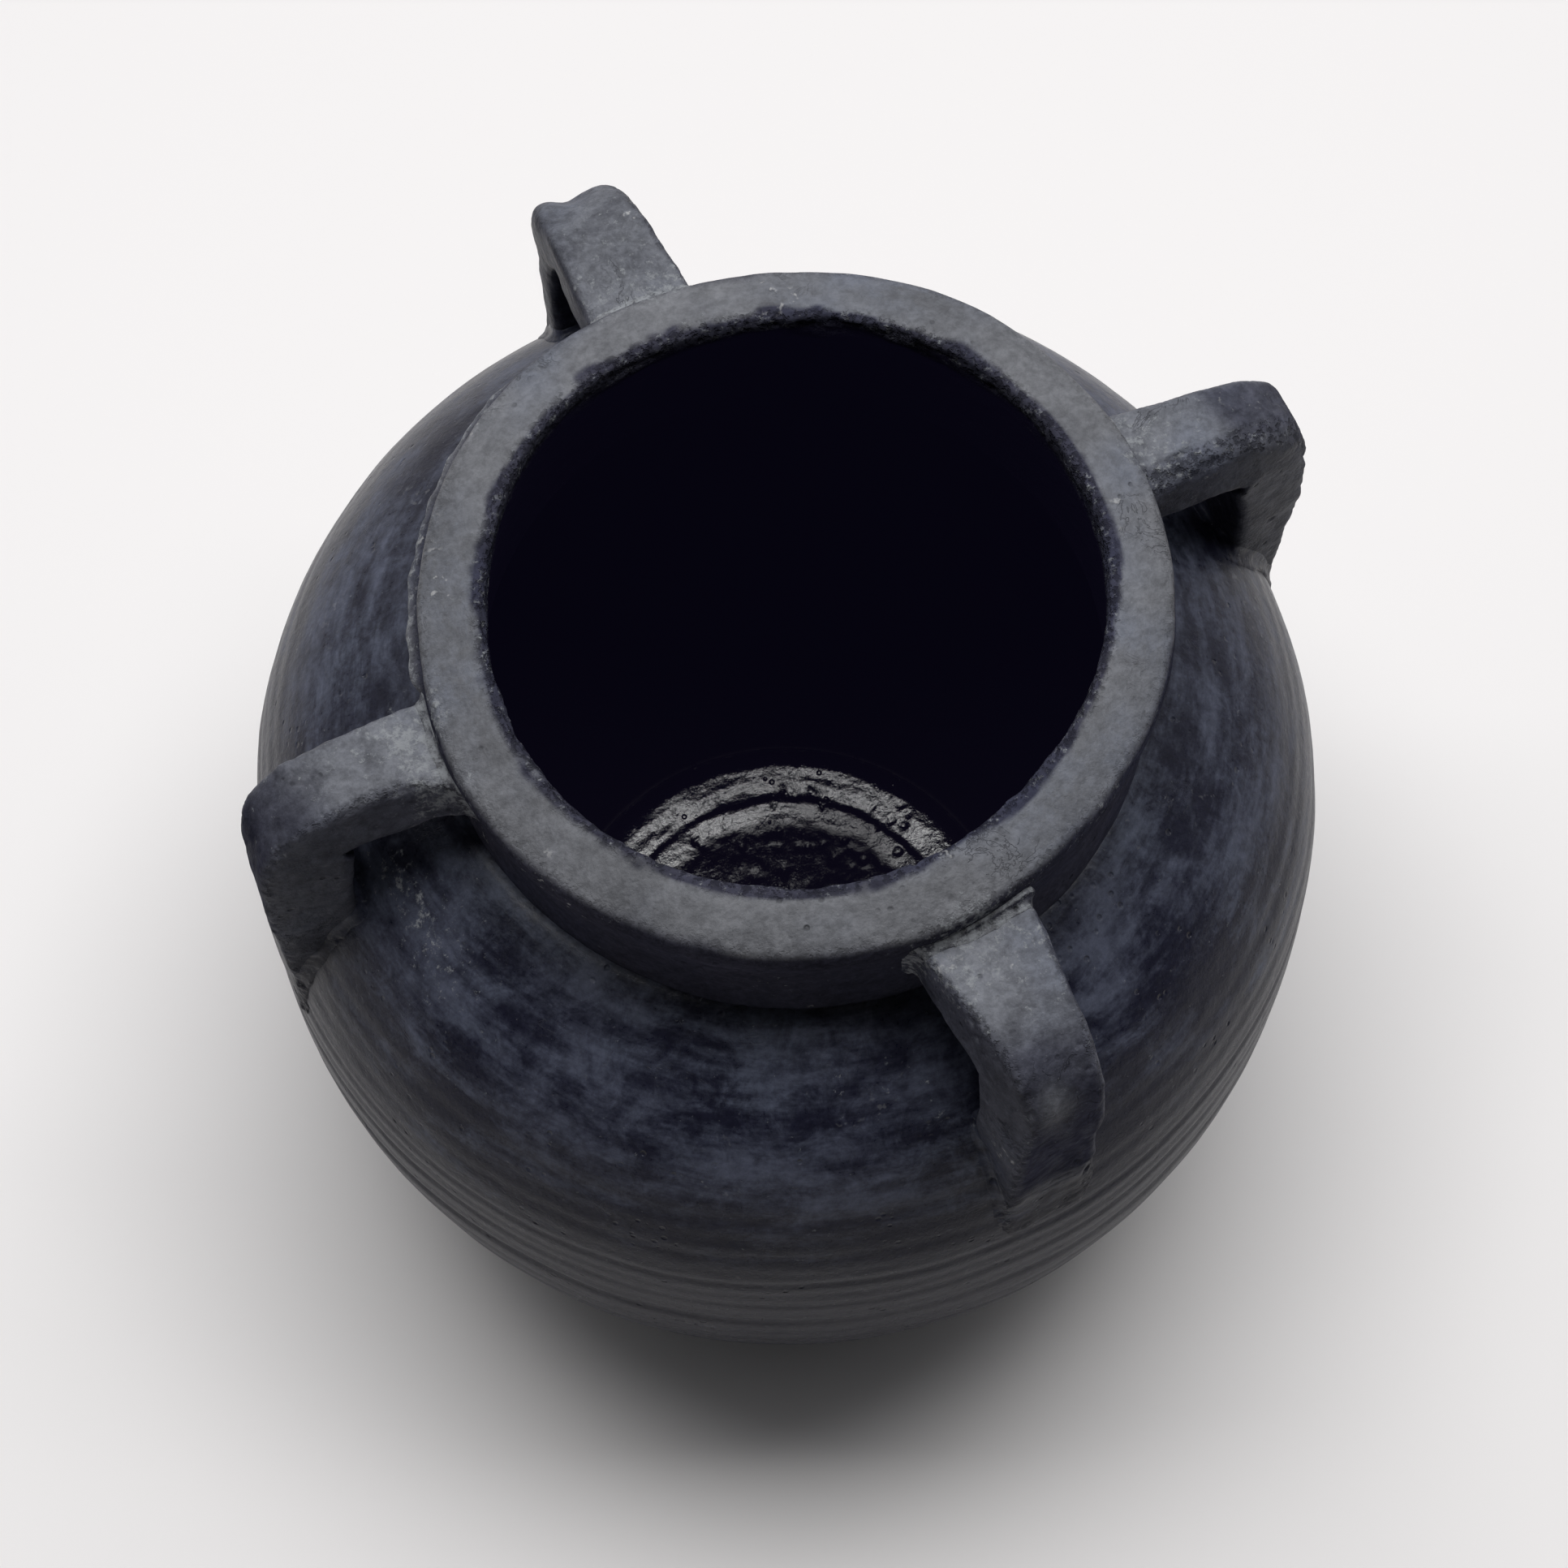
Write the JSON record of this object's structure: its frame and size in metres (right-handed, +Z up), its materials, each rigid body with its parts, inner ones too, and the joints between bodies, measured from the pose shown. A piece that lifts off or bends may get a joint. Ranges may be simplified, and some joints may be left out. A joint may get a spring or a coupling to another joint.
{
  "type": "four-handled clay pot",
  "caption": "Globular black clay pot with a thick collar and strap handles from collar to shoulder; stands on a flat foot and holds things through a wide round mouth.",
  "frame": {"origin": "centre of the flat foot, on the table and on the body's axis", "axes": "+Z up through the mouth; +X close to the right handle, +Y close to the back handle"},
  "size_m": [0.181, 0.18, 0.1705],
  "materials": {
    "burnished_clay": "reduction-fired black clay, burnished in patches, fine scratches, glossy inside",
    "rim_clay": "reduction-fired black clay, worn satin, pitted",
    "handle_clay": "reduction-fired black clay, worn satin with crumbly edges",
    "luting_clay": "rough dry black clay, smeared by hand, greyish crust"
  },
  "bodies": {
    "root": {"body": "burnished_clay", "neck_collar": "rim_clay", "handle_right": "handle_clay", "luting_right_rim": "luting_clay", "luting_right_shoulder": "luting_clay", "handle_back": "handle_clay", "luting_back_rim": "luting_clay", "luting_back_shoulder": "luting_clay", "handle_left": "handle_clay", "luting_left_rim": "luting_clay", "luting_left_shoulder": "luting_clay", "handle_front": "handle_clay", "luting_front_rim": "luting_clay", "luting_front_shoulder": "luting_clay"}
  },
  "joints": []
}
